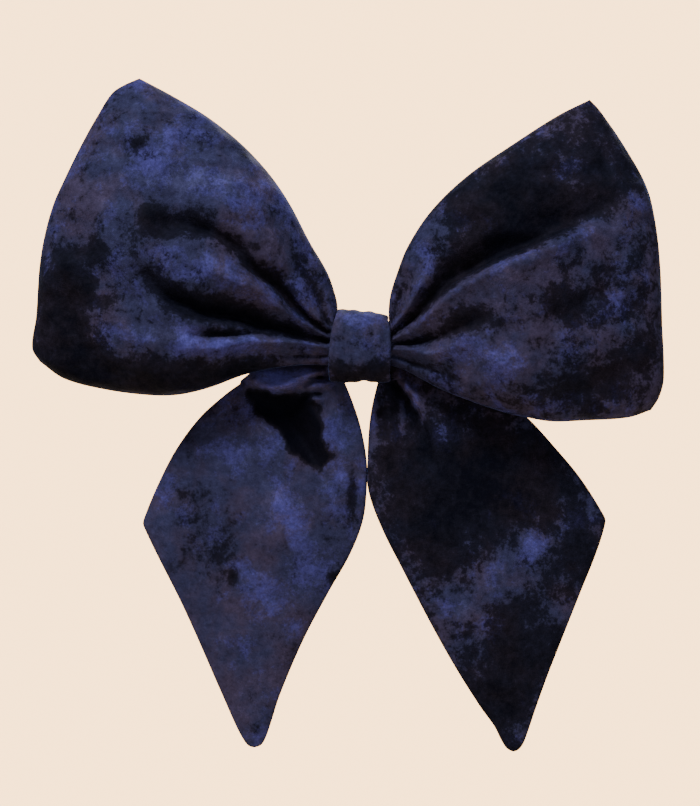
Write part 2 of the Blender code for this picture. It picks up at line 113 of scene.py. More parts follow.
# Knot wrap
WRAP_FRONT_Y = -27.8
WRAP_BACK_Y = -3.6
WRAP_HALF_HEIGHT = 13.7
WRAP_THICKNESS = 2.0
WRAP_SQUARENESS = 2.8
WRAP_STEPS_AROUND = 132
WRAP_STEPS_ACROSS = 36
WRAP_EDGE_STEPS = 5
WRAP_BACK_HALF_WIDTH = 11.2

# Painted light and shadow stored in the pile's tone: painted shading in the folds, a painted highlight on
# the ridges and a painted black shadow in the hollow
FOLD_PAINTED_SHADE = 0.056  # for each millimetre that a fold goes in
RIDGE_PAINTED_HIGHLIGHT = 0.030  # for each millimetre that a ridge stands out
DEEPEST_PAINTED_SHADE = 7  # a fold gets no darker beyond this depth
HOLLOW_SHADOW_DARKNESS = 0.75
HOLLOW_SHADOW_EDGE = 5.0

# Outlines: a loop or the neck of a tail has four sides, and a hanging tail has two
LEFT_LOOP = {
    "pinch": [(-12.6, -8.2), (-12.6, 0), (-9.4, 11.6)],
    "bottom": [(-12.6, -8.2), (-22, -8.0), (-34, -9.3), (-46, -12), (-60, -17.2), (-71.6, -19.9),
               (-82.4, -20.2), (-100.4, -18), (-117.2, -13.6), (-127, -6.8)],
    "outer": [(-127, -6.8), (-130, -1.4), (-128.4, 11.2), (-127.2, 29.2), (-125.2, 42.4),
              (-121.6, 55.2), (-116.8, 66), (-109.8, 80.0), (-103.4, 91.4), (-98.2, 99.4),
              (-93.6, 102.6), (-87.4, 105.4)],
    "top": [(-9.4, 11.6), (-8.9, 14.8), (-9.6, 19), (-12.8, 28.4), (-20, 40.8), (-28, 56),
            (-36, 67.6), (-46.8, 79.2), (-60, 89.8), (-73.6, 98.0), (-87.4, 105.4)],
}
RIGHT_LOOP = {
    "pinch": [(12.6, -8.2), (12.5, 0), (11.5, 9.4)],
    "bottom": [(12.6, -8.2), (18.8, -10.5), (32.8, -18), (54.8, -26.2), (68.4, -29.4),
               (76.8, -30.6), (88, -30.2), (106.2, -29), (115.4, -26)],
    "outer": [(115.4, -26), (118.6, -20.8), (120.4, -13.2), (119.6, 9.6), (119, 28),
              (117.2, 46.4), (113.6, 62), (105.2, 77.6), (95.2, 92.4), (91, 97)],
    "top": [(11.5, 9.4), (11.4, 14), (12.1, 20), (14.2, 27), (18.8, 38.8), (28, 52.8), (42, 66.4),
            (60.4, 79.2), (78.6, 90.8), (91, 97)],
}
LEFT_TAIL = {
    "outer": [(-47.5, -14.8), (-54.2, -19.6), (-64.6, -29), (-74, -41.6), (-81, -55), (-87, -69.4),
              (-87.4, -72.6), (-70.8, -106.4), (-55.6, -140.8), (-50.0, -153.4), (-47.0, -159.0),
              (-45.0, -161.4), (-42.7, -162.2)],
    "inner": [(-6.8, -13.2), (-2.9, -22.8), (0.4, -33.2), (2.7, -46), (2.8, -58), (1.2, -71),
              (-4, -84.4), (-12.4, -99.2), (-22.8, -118.8), (-32.2, -140.8), (-36.0, -152.6),
              (-37.9, -158.0), (-39.8, -161.1), (-42.6, -162.2)],
}
RIGHT_TAIL = {
    "outer": [(48, -14.8), (58, -21), (68.4, -29.8), (77.4, -39.5), (89, -53.4), (98.6, -68.6),
              (99.2, -71.4), (95.6, -83.4), (88.8, -100.4), (76.4, -131.6), (71, -146.6),
              (67.8, -156.2), (66.0, -160.8), (64.0, -163.3), (61.9, -164.1)],
    "inner": [(7.6, -13.2), (5, -24), (3.7, -33), (3.1, -44.8), (3.3, -58), (8.4, -72.8),
              (17.4, -90.8), (29.2, -113.4), (38.8, -130.4), (48.4, -145.6), (54.4, -154),
              (57.0, -159.2), (59.2, -162.6), (61.8, -164.1)],
}
NECK = {
    "pinch": [(1.4, -8), (1.4, 8)],
    "bottom": [(1.4, -8), (8, -9.0), (10.8, -9.8), (11.9, -11.0), (11.7, -12.3), (9.8, -13.0)],
    "outer": [(9.8, -13.0), (12.4, -13.2), (30, -13.6), (48, -14.0)],
    "top": [(1.4, 8), (12.6, 7), (30, 0), (48, -14.0)],
}

# Folds: a path of (x, z) points out from the knot, the depth at each point (positive goes in),
# and how wide the fold is above and below its path.
LEFT_LOOP_FOLDS = [
    ([(-13, 4.6), (-17.5, 7.2), (-26, 14.8), (-33, 22.4), (-41, 28.6), (-48.5, 37), (-57, 42.2), (-70, 46),
      (-84, 47)],
     [3.0, 4.2, 6.4, 7.6, 6.4, 5.4, 5.0, 4.6, 0], [1.6, 2.2, 3.6, 5.4, 4.0, 3.6, 4.0, 6.5, 9],
     [1.0, 1.4, 1.8, 2.0, 2.0, 2.2, 2.6, 4.0, 8]),
    ([(-13, 1.2), (-26, 4.6), (-38, 7.0), (-47, 9.6), (-60, 11.8), (-73.5, 17), (-82, 25), (-87, 34)],
     [3.0, 5.6, 7.6, 9.4, 9.6, 7.2, 4.0, 0], [1.4, 2.6, 4.4, 6.6, 7.4, 6.6, 5, 6],
     [0.9, 1.2, 1.5, 1.8, 2.2, 2.6, 3.6, 5]),
    ([(-13, 0.2), (-27, 2.6), (-40, 4.2), (-52, 3.6), (-62, 3.2), (-72, 4)],
     [1.6, 2.4, 2.0, 2.8, 2.4, 0], [0.9, 1.2, 1.3, 1.8, 2.0, 2.6], [0.7, 0.9, 1.0, 1.3, 1.4, 2]),
    ([(-13, 3.2), (-27, 11.4), (-35, 16.6), (-44, 22), (-57, 28), (-70, 33)],
     [-1.8, -3.2, -4.0, -4.2, -3.0, 0], [0.9, 1.8, 2.8, 4.4, 6.0, 7], [0.9, 1.8, 2.8, 4.6, 6.0, 7]),
    ([(-13, -0.9), (-27, 0.6), (-45, 0.2), (-60, -1.6), (-78, -0.6), (-96, 8)],
     [-1.4, -2.2, -2.6, -2.8, -2.0, 0], [0.8, 1.2, 1.8, 3.0, 6.0, 9], [1.4, 2.4, 4.0, 5.0, 7.0, 9]),
    ([(-12.4, 8.2), (-15.5, 17), (-21, 28), (-30, 41), (-40, 50)],
     [2.2, 2.8, 2.0, 1.0, 0], [1.4, 2.2, 3.2, 5, 7], [1.2, 2.0, 3.0, 5, 7]),
    ([(-13, 6.6), (-20, 12.8), (-28, 22), (-34, 32)],
     [-1.4, -2.4, -2.2, 0], [1.2, 2.0, 3.4, 5], [0.8, 1.4, 2.4, 4]),
    ([(-13, -4.4), (-28, -4.6), (-44, -5.4), (-60, -8)],
     [1.8, 2.0, 1.4, 0], [1.0, 1.6, 2.6, 4], [0.9, 1.5, 2.6, 4]),
    ([(-92, -16), (-106, -4), (-114, 12), (-116, 30)],
     [0, 3.0, 3.0, 0], [7, 8, 9, 10], [6, 8, 9, 10]),
]
RIGHT_LOOP_FOLDS = [
    ([(13, 3.6), (24, 12.6), (37, 24.8), (51, 32.4), (65, 38.6), (79, 45), (92, 52), (104, 58)],
     [3.0, 6.0, 9.4, 10.6, 9.6, 7.4, 4.0, 0], [1.8, 4.6, 8.5, 11.5, 13, 13, 12, 12],
     [0.9, 1.5, 2.0, 2.2, 2.4, 2.8, 4.0, 7]),
    ([(13, 2.2), (21, 6.2), (26, 11.2), (35.5, 19.4), (51, 27.4), (66, 33.4), (80.5, 40), (97, 49)],
     [-1.4, -2.2, -3.0, -3.8, -4.2, -3.6, -2.4, 0], [0.8, 1.2, 1.5, 2.2, 2.8, 3.2, 4, 6],
     [1.0, 1.8, 2.6, 4.4, 6.0, 7, 8, 9]),
    ([(13, 0.2), (21, 0.4), (28, 1.6), (36, 4.6), (46, 9), (58, 14)],
     [2.4, 4.2, 4.2, 3.6, 2.2, 0], [1.0, 1.8, 2.8, 3.6, 4.4, 5], [0.7, 1.0, 1.3, 1.8, 3, 5]),
    ([(13, -1.8), (21, -2.4), (27, -3.6), (34, -1.8), (44, 0)],
     [-1.2, -2.2, -2.6, -2.4, 0], [0.8, 1.1, 1.4, 2.0, 4], [1.2, 2.2, 3.6, 5, 7]),
    ([(13, -4.4), (20, -7), (30, -10.6), (42, -15)],
     [1.8, 2.2, 1.6, 0], [0.9, 1.3, 2.0, 3.5], [0.9, 1.3, 2.0, 3.5]),
    ([(44, -4), (56, -8), (70, -10)],
     [0, -2.0, 0], [7, 9, 9], [7, 9, 9]),
    ([(12.2, 9), (15.4, 18), (22, 30), (32, 43)],
     [2.2, 2.4, 1.6, 0], [1.2, 1.8, 3.0, 5], [1.2, 1.8, 3.0, 5]),
    ([(12.9, 6.6), (18.6, 14), (24, 23), (30, 31)],
     [-1.4, -2.4, -2.2, 0], [0.9, 1.8, 2.8, 4], [0.9, 1.6, 2.4, 4]),
    ([(70, 8), (84, 14), (98, 22), (112, 26)],
     [0, 2.0, 2.0, 0], [6, 7, 8, 9], [6, 7, 8, 9]),
    ([(62, -20), (80, -20), (98, -14), (110, -2)],
     [0, 2.0, 2.2, 0], [6, 7, 8, 8], [6, 7, 8, 8]),
]
BACK_FOLDS = [  # for the right loop's back; the left one's are its mirror image
    ([(13, 5), (24, 16), (40, 30), (62, 42)], [-1.8, -3.4, -2.6, 0], [1.5, 3, 6, 9], [1.2, 2.4, 5, 8]),
    ([(13, 0.5), (30, 4), (52, 10), (78, 16)], [-1.8, -3.2, -2.2, 0], [1.3, 3, 6, 9], [1.0, 2.0, 4, 8]),
    ([(13, -4), (28, -9), (46, -13), (64, -14)], [-1.4, -2.2, -1.4, 0], [1.0, 2.0, 4, 6], [1.0, 2.0, 4, 6]),
    ([(13, 8), (18, 22), (28, 38), (40, 50)], [-1.4, -2.0, -1.4, 0], [1.2, 2.2, 4, 6], [1.2, 2.2, 4, 6]),
]
LEFT_TAIL_FOLDS = [
    ([(-33.4, -22.6), (-31, -27), (-26, -35), (-20, -44), (-16, -51)],
     [5.6, 6.2, 5.6, 3.6, 0], [10.0, 8.6, 6.5, 3.4, 2], [10.5, 8.4, 5.4, 3.0, 2]),
    ([(-46, -18), (-42.6, -27), (-38, -32), (-33, -36.4), (-24, -47)],
     [-1.2, -2.6, -2.8, -2.4, 0], [2.2, 2.6, 2.6, 2.6, 3], [5, 6, 7, 7, 6]),
    ([(-20, -20.6), (-19.4, -26), (-14.6, -33), (-13.6, -42), (-10, -50)],
     [-1.4, -2.4, -2.4, -1.8, 0], [2.6, 3.0, 3.0, 3.2, 4], [2.6, 3.0, 3.0, 3.2, 4]),
    ([(-46, -11.5), (-41, -14.8), (-35, -16.8), (-28, -15.6), (-22, -12.4), (-13, -10.4)],
     [-3.5, -8.0, -10.5, -10, -7.0, -3.6], [4.2, 4.8, 5.2, 5.0, 4, 2.6], [2.4, 3.0, 3.4, 3.2, 2.2, 1.7]),
    ([(-20, -14.0), (-15.8, -12.8), (-12.8, -12.0)], [1.6, 2.6, 1.6], [0.9, 1.0, 0.9], [0.7, 0.8, 0.7]),
    ([(-22.6, -17.8), (-18, -16.2), (-12.6, -15.4)], [-2.2, -4.4, -2.2], [1.3, 1.6, 1.5], [1.2, 1.5, 1.4]),
    ([(-21.4, -22.6), (-17.6, -21.8), (-14, -21.6)], [-1.0, -3.0, -0.8], [1.2, 1.5, 1.4], [1.1, 1.4, 1.3]),
    ([(-9, -17), (-5, -30), (-3, -46)], [1.2, 1.4, 0], [1.6, 2.6, 4], [1.4, 2.2, 4]),
    ([(-70, -62), (-58, -84), (-46, -112)], [0, 1.6, 0], [9, 12, 10], [9, 12, 10]),
]
RIGHT_TAIL_FOLDS = [
    ([(12, -12), (15.4, -16), (18.6, -20), (21.2, -25), (24.4, -31), (27, -41), (30, -54)],
     [2.8, 4.4, 4.8, 4.6, 3.8, 2.6, 0], [0.5, 0.5, 0.55, 0.6, 0.8, 1.4, 3],
     [2.2, 3.0, 3.4, 3.6, 4.2, 4.8, 5]),
    ([(16, -12), (19, -17), (22.4, -21), (25.4, -26), (28.6, -33), (33, -45)],
     [-1.8, -3.4, -3.6, -3.0, -1.8, 0], [1.6, 1.9, 2.3, 3, 4, 6], [1.2, 1.4, 1.6, 2.0, 3.0, 5]),
    ([(10.5, -16), (11.4, -26), (13.5, -40), (18, -58)],
     [-1.0, -2.0, -1.6, 0], [1.8, 2.4, 3.2, 5], [1.8, 2.2, 2.8, 4]),
    ([(8, -17), (7.4, -28), (7.8, -42)],
     [1.0, 1.4, 0], [1.2, 1.8, 3], [1.2, 1.8, 3]),
    ([(48, -26), (52, -44), (56, -62), (60, -84)], [1.6, 2.6, 2.0, 0], [9, 11, 12, 14], [9, 11, 12, 14]),
    ([(76, -74), (58, -90), (40, -106)], [0, -2.2, 0], [8, 9, 8], [8, 9, 8]),
]

# Blots of lighter or darker pile, many of them painted highlights and painted shadows: (x, z, half width,
# half height, lightness)
LOOP_BLOTS = [
    (-120, 8, 14, 24, -0.24), (-104, -10, 22, 9, -0.26), (-72, -15, 30, 7, -0.30),
    (-42, -10, 14, 3.5, -0.22), (-78, 47, 9, 6, -0.18), (-82, 50, 4, 5, -0.20), (-76, 3, 22, 5, 0.24),
    (-60, 63, 24, 7, 0.36), (-28, 45, 11, 16, 0.12), (-100, 78, 13, 12, 0.05), (-56, 80, 16, 12, 0.06),
    (-86.5, 78, 2.6, 2.6, -0.24), (-97, 16, 3.5, 3, -0.30), (-106, 22, 5, 5, -0.28),
    (-114, 30, 4, 6, -0.26), (-103, 36, 4, 5, -0.24), (-55, 3.8, 6, 1.1, -0.40),
    (-58, 30, 11, 6, 0.10), (-68, 5.0, 5, 2.4, 0.24), (-44, 1.4, 15, 1.8, 0.14), (42, 11, 9, 3, -0.10),
    (62, 60, 26, 13, -0.22), (91, 46, 13, 6, 0.18), (50, -6, 13, 9, 0.20), (42, 9, 12, 4, -0.22),
    (100, -14, 22, 11, -0.10), (112, 10, 8, 20, -0.12), (25, 28, 6, 14, 0.14), (60, 30, 60, 60, -0.05),
    (88, 84, 20, 14, -0.18), (102, 66, 14, 12, -0.12), (78, 20, 14, 9, -0.14),
]
LEFT_TAIL_BLOTS = [
    (-30, -16, 14, 3, 0.12), (-16.2, -12.7, 2.4, 0.9, -0.4), (-17.1, -19.6, 3.0, 0.8, -0.4),
    (-19, -22.6, 1.6, 0.9, -0.4), (-19, -16.4, 2.6, 1.3, 0.22), (-16.2, -21.9, 2.0, 1.0, 0.3),
    (-36, -12.5, 10, 3, 0.30), (-22, -11, 6, 2, 0.26), (-38, -37, 5, 5, 0.10), (-50, -45, 12, 9, 0.15),
    (-34, -64, 12, 9, 0.22), (-26, -73, 6, 5, 0.12), (-45, -94, 8, 9, 0.12), (-8, -40, 5, 10, 0.08),
    (-3, -58, 2, 12, -0.24), (-10, -93, 3, 2, -0.30), (-51, -93, 1.8, 3.0, -0.30),
    (-55, -86, 2.4, 2, -0.10), (-71.5, -59.6, 2.5, 2.5, -0.22), (-43, -141, 3, 3, -0.20),
    (-42, -154, 3, 2.5, -0.16), (-9.6, -41, 0.9, 4, -0.2),
]
RIGHT_TAIL_BLOTS = [
    (39, -105, 7, 5, 0.22), (54, -93, 9, 6, 0.22), (70, -80, 9, 7, 0.22), (50, -54, 24, 16, -0.30),
    (30, -75, 14, 16, -0.22), (66, -118, 18, 15, -0.20), (88, -85, 9, 12, -0.10),
    (56, -146, 10, 12, -0.2), (5.4, -27, 1.3, 9, 0.34), (17.4, -26, 1.3, 8, 0.24),
    (12.2, -29, 3.0, 8, -0.24), (12, -48, 5, 6, -0.2), (20, -40, 5, 8, -0.12),
    (16.0, -12.4, 1.2, 3, 0.34), (18.6, -17.4, 1.2, 3, 0.34), (21.6, -23, 1.3, 3.2, 0.34),
    (24.9, -30, 1.2, 3.4, 0.20), (28, -38, 4, 8, -0.16), (34, -24, 9, 6, -0.08),
    (30, 0, 200, 300, -0.04),
]
# The wrap's top is painted lighter and its underside darker: painted light from above and painted shade
# below
WRAP_BLOTS = [
    (0, 11, 13, 4.5, 0.22), (0, -12, 14, 6, -0.30), (4.4, 4, 0.9, 1.1, -0.22),
    (5.6, -6, 1.4, 5, -0.10), (-8, -2, 3, 8, -0.08), (0, 0, 12, 8, 0.1),
]

# The painted black shadow in the hollow under the left tail's roll, as a closed outline
LEFT_TAIL_HOLLOW_SHADOW = [
    (-45.2, -17.7), (-34.0, -20.6), (-21.9, -20.0), (-16.8, -27.0), (-15.9, -38.1), (-11.2, -43.7),
    (-14.5, -50.2), (-26.1, -43.7), (-30.7, -34.4), (-41.0, -27.0),
]


# Numbers: smooth lines, patches, folds

FOLD_SAMPLES = 80
RIPPLE_WAVES = 7


def mix(a, b, share):
    return a + (b - a) * share


def hump(distance, width):
    """1 at no distance, falling smoothly to almost nothing at two widths."""
    return np.exp(-((distance / width) ** 2))


def ease(share):
    share = np.clip(share, 0.0, 1.0)
    return share * share * (3 - 2 * share)


def line_at(points, shares):
    """Points at shares of the way along a smooth line through given points."""
    line = np.array(points, float)
    steps = np.linalg.norm(np.diff(line, axis=0), axis=1)
    reach = np.concatenate([[0], np.cumsum(steps)])
    wanted = np.clip(np.asarray(shares, float), 0, 1) * reach[-1]
    place = np.clip(np.searchsorted(reach, wanted, side="right") - 1, 0, len(steps) - 1)
    t = ((wanted - reach[place]) / steps[place])[..., None]
    a, b = line[place], line[place + 1]
    before, after = line[np.maximum(place - 1, 0)], line[np.minimum(place + 2, len(line) - 1)]
    length = steps[place][..., None]
    start = (b - before) * length / np.maximum(np.linalg.norm(b - before, axis=-1, keepdims=True), 1e-9)
    end = (after - a) * length / np.maximum(np.linalg.norm(after - a, axis=-1, keepdims=True), 1e-9)
    return (
        a * (2 * t**3 - 3 * t**2 + 1)
        + start * (t**3 - 2 * t**2 + t)
        + b * (3 * t**2 - 2 * t**3)
        + end * (t**3 - t**2)
    )


def patch_at(patch, out, up):
    """(x, z) for a grid of out (pinch 0 to outer side 1) by up (bottom 0 to top 1) inside four sides."""
    bottom, top = line_at(patch["bottom"], out)[:, None], line_at(patch["top"], out)[:, None]
    pinch, outer = line_at(patch["pinch"], up)[None], line_at(patch["outer"], up)[None]
    o, u = out[:, None, None], up[None, :, None]
    first, last = np.array(patch["bottom"][0]), np.array(patch["bottom"][-1])
    high_first, high_last = np.array(patch["top"][0]), np.array(patch["top"][-1])
    corners = first * (1 - o) * (1 - u) + last * o * (1 - u) + high_first * (1 - o) * u + high_last * o * u
    return bottom * (1 - u) + top * u + pinch * (1 - o) + outer * o - corners


def fold_depth(place, folds, mirror=False):
    """How far in the cloth goes at each (x, z) place, summed over the folds."""
    flat = place.reshape(-1, 2)
    total = np.zeros(len(flat))
    for path, depths, above, below in folds:
        points = np.array(path, float)
        if mirror:
            points[:, 0] *= -1
        shares = np.linspace(0, 1, FOLD_SAMPLES)
        line = line_at(points, shares)
        steps = np.linalg.norm(np.diff(points, axis=0), axis=1)
        marks = np.concatenate([[0], np.cumsum(steps)]) / steps.sum()
        along = np.gradient(line, axis=0)
        along /= np.linalg.norm(along, axis=1, keepdims=True)
        gap = flat[:, None] - line[None]
        nearest = np.argmin((gap**2).sum(2), axis=1)
        away = gap[np.arange(len(flat)), nearest]
        distance = np.linalg.norm(away, axis=1)
        side = along[nearest, 0] * away[:, 1] - along[nearest, 1] * away[:, 0]
        is_above = side * np.sign(along[nearest, 0] + 1e-9) > 0
        width = np.where(is_above, np.interp(shares, marks, above)[nearest],
                         np.interp(shares, marks, below)[nearest])
        depth = np.interp(shares, marks, depths)[nearest]
        # A rounded valley with a faint skirt
        reach = np.sqrt((distance / width) ** 2 + 0.01) - 0.1
        total += depth * (0.7 * np.exp(-(reach**1.7)) + 0.3 * np.exp(-reach * 2.4))
    return total.reshape(place.shape[:-1])


def ripple(x, z, size, seed):
    """A gentle wandering surface, mostly between -1 and 1, whose hollows are about a size apart."""
    random = np.random.default_rng(seed)
    total = 0.0
    for _ in range(RIPPLE_WAVES):
        turn = random.uniform(0, 2 * math.pi)
        stretch = random.uniform(0.6, 1.6) * 2 * math.pi / size
        total = total + np.cos((x * math.cos(turn) + z * math.sin(turn)) * stretch + random.uniform(0, 6.3))
    return total / RIPPLE_WAVES * 1.8


# Meshes

def grid_faces(rows, columns, around=False):
    """Quads of a grid whose vertices run column by column; around joins the last row to the first."""
    faces = []
    for i in range(columns - 1):
        for j in range(rows if around else rows - 1):
            k = (j + 1) % rows
            faces.append((i * rows + j, (i + 1) * rows + j, (i + 1) * rows + k, i * rows + k))
    return faces


def add_mesh(name, points, faces, material, smooth=True):
    data = bpy.data.meshes.new(name)
    data.from_pydata([tuple(p) for p in np.asarray(points).reshape(-1, 3) * MM], [], faces)
    data.validate()
    if smooth:
        data.shade_smooth()
    thing = bpy.data.objects.new(name, data)
    bpy.context.scene.collection.objects.link(thing)
    if material is not None:
        data.materials.append(material)
    return thing


def face_out(thing, towards):
    """Turns the faces so that most of them look along a direction."""
    total = sum((Vector(f.normal) * f.area for f in thing.data.polygons), Vector())
    if total.dot(Vector(towards)) < 0:
        thing.data.flip_normals()


def apply_modifiers(thing):
    """Makes what a thing's modifiers do to it its own mesh."""
    graph = bpy.context.evaluated_depsgraph_get()
    made = bpy.data.meshes.new_from_object(thing.evaluated_get(graph), preserve_all_data_layers=True,
                                           depsgraph=graph)
    old = thing.data
    thing.modifiers.clear()
    thing.data = made
    made.name = thing.name
    bpy.data.meshes.remove(old)


def thicken(thing, thickness):
    """Gives a cloth surface its thickness, inwards from the side that shows."""
    solidify = thing.modifiers.new("thickness", "SOLIDIFY")
    solidify.thickness = thickness * MM
    solidify.offset = -1
    solidify.use_even_offset = False
    solidify.thickness_clamp = 1.5
    apply_modifiers(thing)


def fix_normals(thing):
    mesh = bmesh.new()
    mesh.from_mesh(thing.data)
    bmesh.ops.recalc_face_normals(mesh, faces=mesh.faces[:])
    mesh.to_mesh(thing.data)
    mesh.free()


def vertex_places(thing):
    places = np.zeros(len(thing.data.vertices) * 3, np.float32)
    thing.data.vertices.foreach_get("co", places)
    return places


def keep_rest_place(thing):
    """Stores each vertex's place, so that a material's pattern stays on the cloth when it bends."""
    places = vertex_places(thing)
    attribute = thing.data.attributes.new("rest_place", "FLOAT_VECTOR", "POINT")
    attribute.data.foreach_set("vector", places)


def depth_inside(x, z, outline):
    """How far each (x, z) lies inside a closed outline, and less than 0 outside it."""
    nearest = np.full(x.shape, np.inf)
    crossings = np.zeros(x.shape, int)
    for (x0, z0), (x1, z1) in zip(outline, outline[1:] + outline[:1]):
        wide, high = x1 - x0, z1 - z0
        along = np.clip(((x - x0) * wide + (z - z0) * high) / (wide**2 + high**2), 0, 1)
        nearest = np.minimum(nearest, np.hypot(x - mix(x0, x1, along), z - mix(z0, z1, along)))
        if z0 != z1:
            crossings += ((z0 > z) != (z1 > z)) & (x < mix(x0, x1, (z - z0) / high))
    return np.where(crossings % 2 == 1, nearest, -nearest)


def add_tone(thing, blots, folds=(), hollow=()):
    """Stores a tone for the pile at each vertex: soft blots, some of them the pile's own lighter and darker
    patches and many painted highlights and painted shadows; painted shading in the folds and a painted
    highlight on the ridges; and a painted black shadow in the hollow, with a ragged edge."""
    places = vertex_places(thing)
    x, z = places.reshape(-1, 3)[:, 0] / MM, places.reshape(-1, 3)[:, 2] / MM
    depth = fold_depth(np.stack([x, z], -1), folds)
    # Painted shading where a fold goes in, and a painted highlight where a ridge stands out
    tone = np.where(depth > 0, -FOLD_PAINTED_SHADE * np.minimum(depth, DEEPEST_PAINTED_SHADE), -RIDGE_PAINTED_HIGHLIGHT * depth)
    # Blots: some are the pile's own lighter and darker patches, many are painted highlights and painted
    # shadows
    for blot_x, blot_z, wide, high, lightness in blots:
        tone += lightness * np.exp(-(((x - blot_x) / wide) ** 2) - ((z - blot_z) / high) ** 2)
    # A painted black shadow fills the hollow under the roll, with a ragged edge
    if hollow:
        ragged = 0.9 * ripple(x, z, 9, 51) + 0.7 * ripple(x, z, 4, 52)
        inside = depth_inside(x, z, hollow) + ragged
        tone -= HOLLOW_SHADOW_DARKNESS * ease(0.5 + inside / HOLLOW_SHADOW_EDGE)
    attribute = thing.data.attributes.new("pile_tone_and_painted_light", "FLOAT", "POINT")
    attribute.data.foreach_set("value", tone.astype(np.float32))


# Materials

VIOLET = (0.0142, 0.0122, 0.0290)
NAVY = (0.0092, 0.0104, 0.0300)
BRIGHT_BLUE = (0.0172, 0.0176, 0.0780)
# The ramp's input also carries painted light and shadow from the tone, so its dark end gives painted shadow
# and its bright end painted highlights
PILE_LEVELS = [  # how much light the pile gives back, from pile lying away from the light to facing it
    (0.0, (0.07, 0.075, 0.08)), (0.18, (0.18, 0.175, 0.14)), (0.38, (0.31, 0.30, 0.26)),
    (0.475, (0.86, 0.85, 0.83)), (0.64, (1.12, 1.12, 1.12)), (0.90, (1.9, 1.9, 1.9)),
]


def node(tree, kind, **values):
    made = tree.nodes.new(kind)
    for name, value in values.items():
        if name in made.inputs:
            made.inputs[name].default_value = value
        else:
            setattr(made, name, value)
    return made


def noise(tree, vector, scale, detail=4.0, roughness=0.55, distortion=0.0):
    made = node(tree, "ShaderNodeTexNoise", Scale=scale, Detail=detail, Roughness=roughness,
                Distortion=distortion)
    tree.links.new(vector, made.inputs["Vector"])
    return made.outputs["Fac"]


def arithmetic(tree, operation, a, b):
    made = node(tree, "ShaderNodeMath", operation=operation)
    for socket, value in zip(made.inputs, (a, b)):
        if isinstance(value, (int, float)):
            socket.default_value = value
        else:
            tree.links.new(value, socket)
    return made.outputs[0]


def plus(tree, start, pattern, share):
    """A value with a share of a pattern added to it."""
    return arithmetic(tree, "ADD", start, arithmetic(tree, "MULTIPLY", pattern, share))


def ramp(tree, factor, stops):
    made = node(tree, "ShaderNodeValToRGB")
    elements = made.color_ramp.elements
    while len(elements) < len(stops):
        elements.new(0.5)
    for element, (position, colour) in zip(elements, stops):
        element.position = position
        element.color = (*colour, 1)
    tree.links.new(factor, made.inputs["Fac"])
    return made.outputs["Color"]


def blend_colours(tree, factor, a, b, mode="MIX"):
    made = node(tree, "ShaderNodeMix", data_type="RGBA", blend_type=mode)
    for socket, value in ((made.inputs["Factor"], factor), (made.inputs[6], a), (made.inputs[7], b)):
        if isinstance(value, (int, float)):
            socket.default_value = value
        elif isinstance(value, tuple):
            socket.default_value = (*value, 1)
        else:
            tree.links.new(value, socket)
    return made.outputs[2]


def add_bump(tree, shader, height, strength, distance):
    bump = node(tree, "ShaderNodeBump", Strength=strength, Distance=distance)
    tree.links.new(height, bump.inputs["Height"])
    tree.links.new(bump.outputs["Normal"], shader.inputs["Normal"])


def new_material(name):
    material = bpy.data.materials.new(name)
    material.use_nodes = True
    return material, material.node_tree, material.node_tree.nodes["Principled BSDF"]


